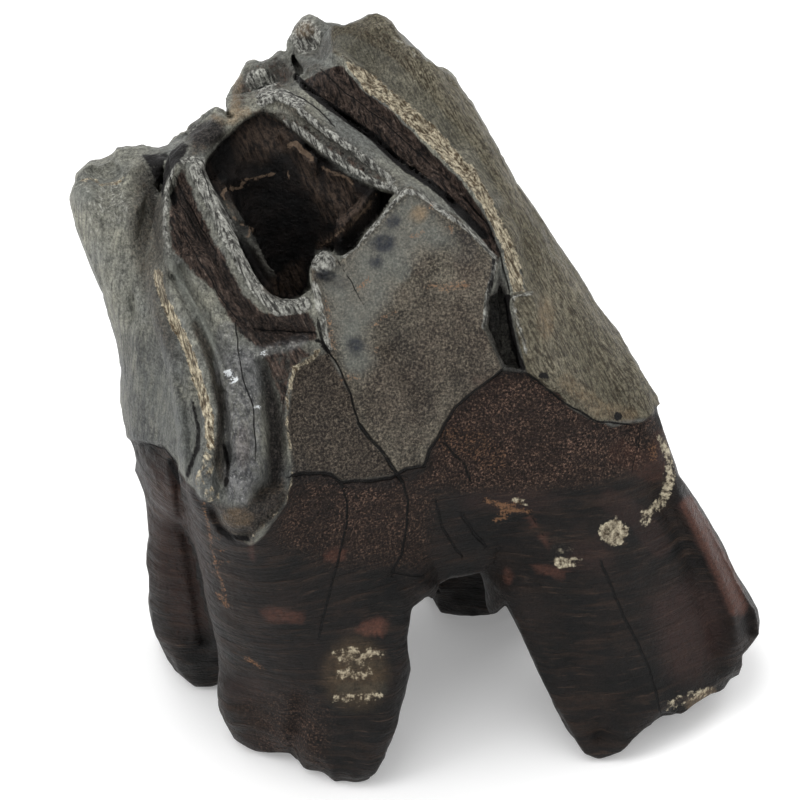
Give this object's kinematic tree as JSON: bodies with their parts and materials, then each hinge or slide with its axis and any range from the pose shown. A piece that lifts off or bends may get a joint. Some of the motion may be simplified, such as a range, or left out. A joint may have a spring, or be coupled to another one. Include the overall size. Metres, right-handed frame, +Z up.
{
  "type": "fossil tooth",
  "caption": "Fossil upper cheek tooth of a woolly rhinoceros, worn crown with a deep pit, dark cracked roots, standing on its root tips.",
  "frame": {"origin": "centre of the bounding box, at the height of the root tips", "axes": "+Z up from the root tips to the chewing surface, -Y towards the side with the pit and the broken enamel plate, +X towards the cheek side with the long outer wall"},
  "size_m": [0.0882, 0.0616, 0.0849],
  "materials": {
    "fossil_tooth": "satin, mineralised enamel above and dark dentine below"
  },
  "bodies": {
    "root": {"tooth": "fossil_tooth"}
  },
  "joints": []
}
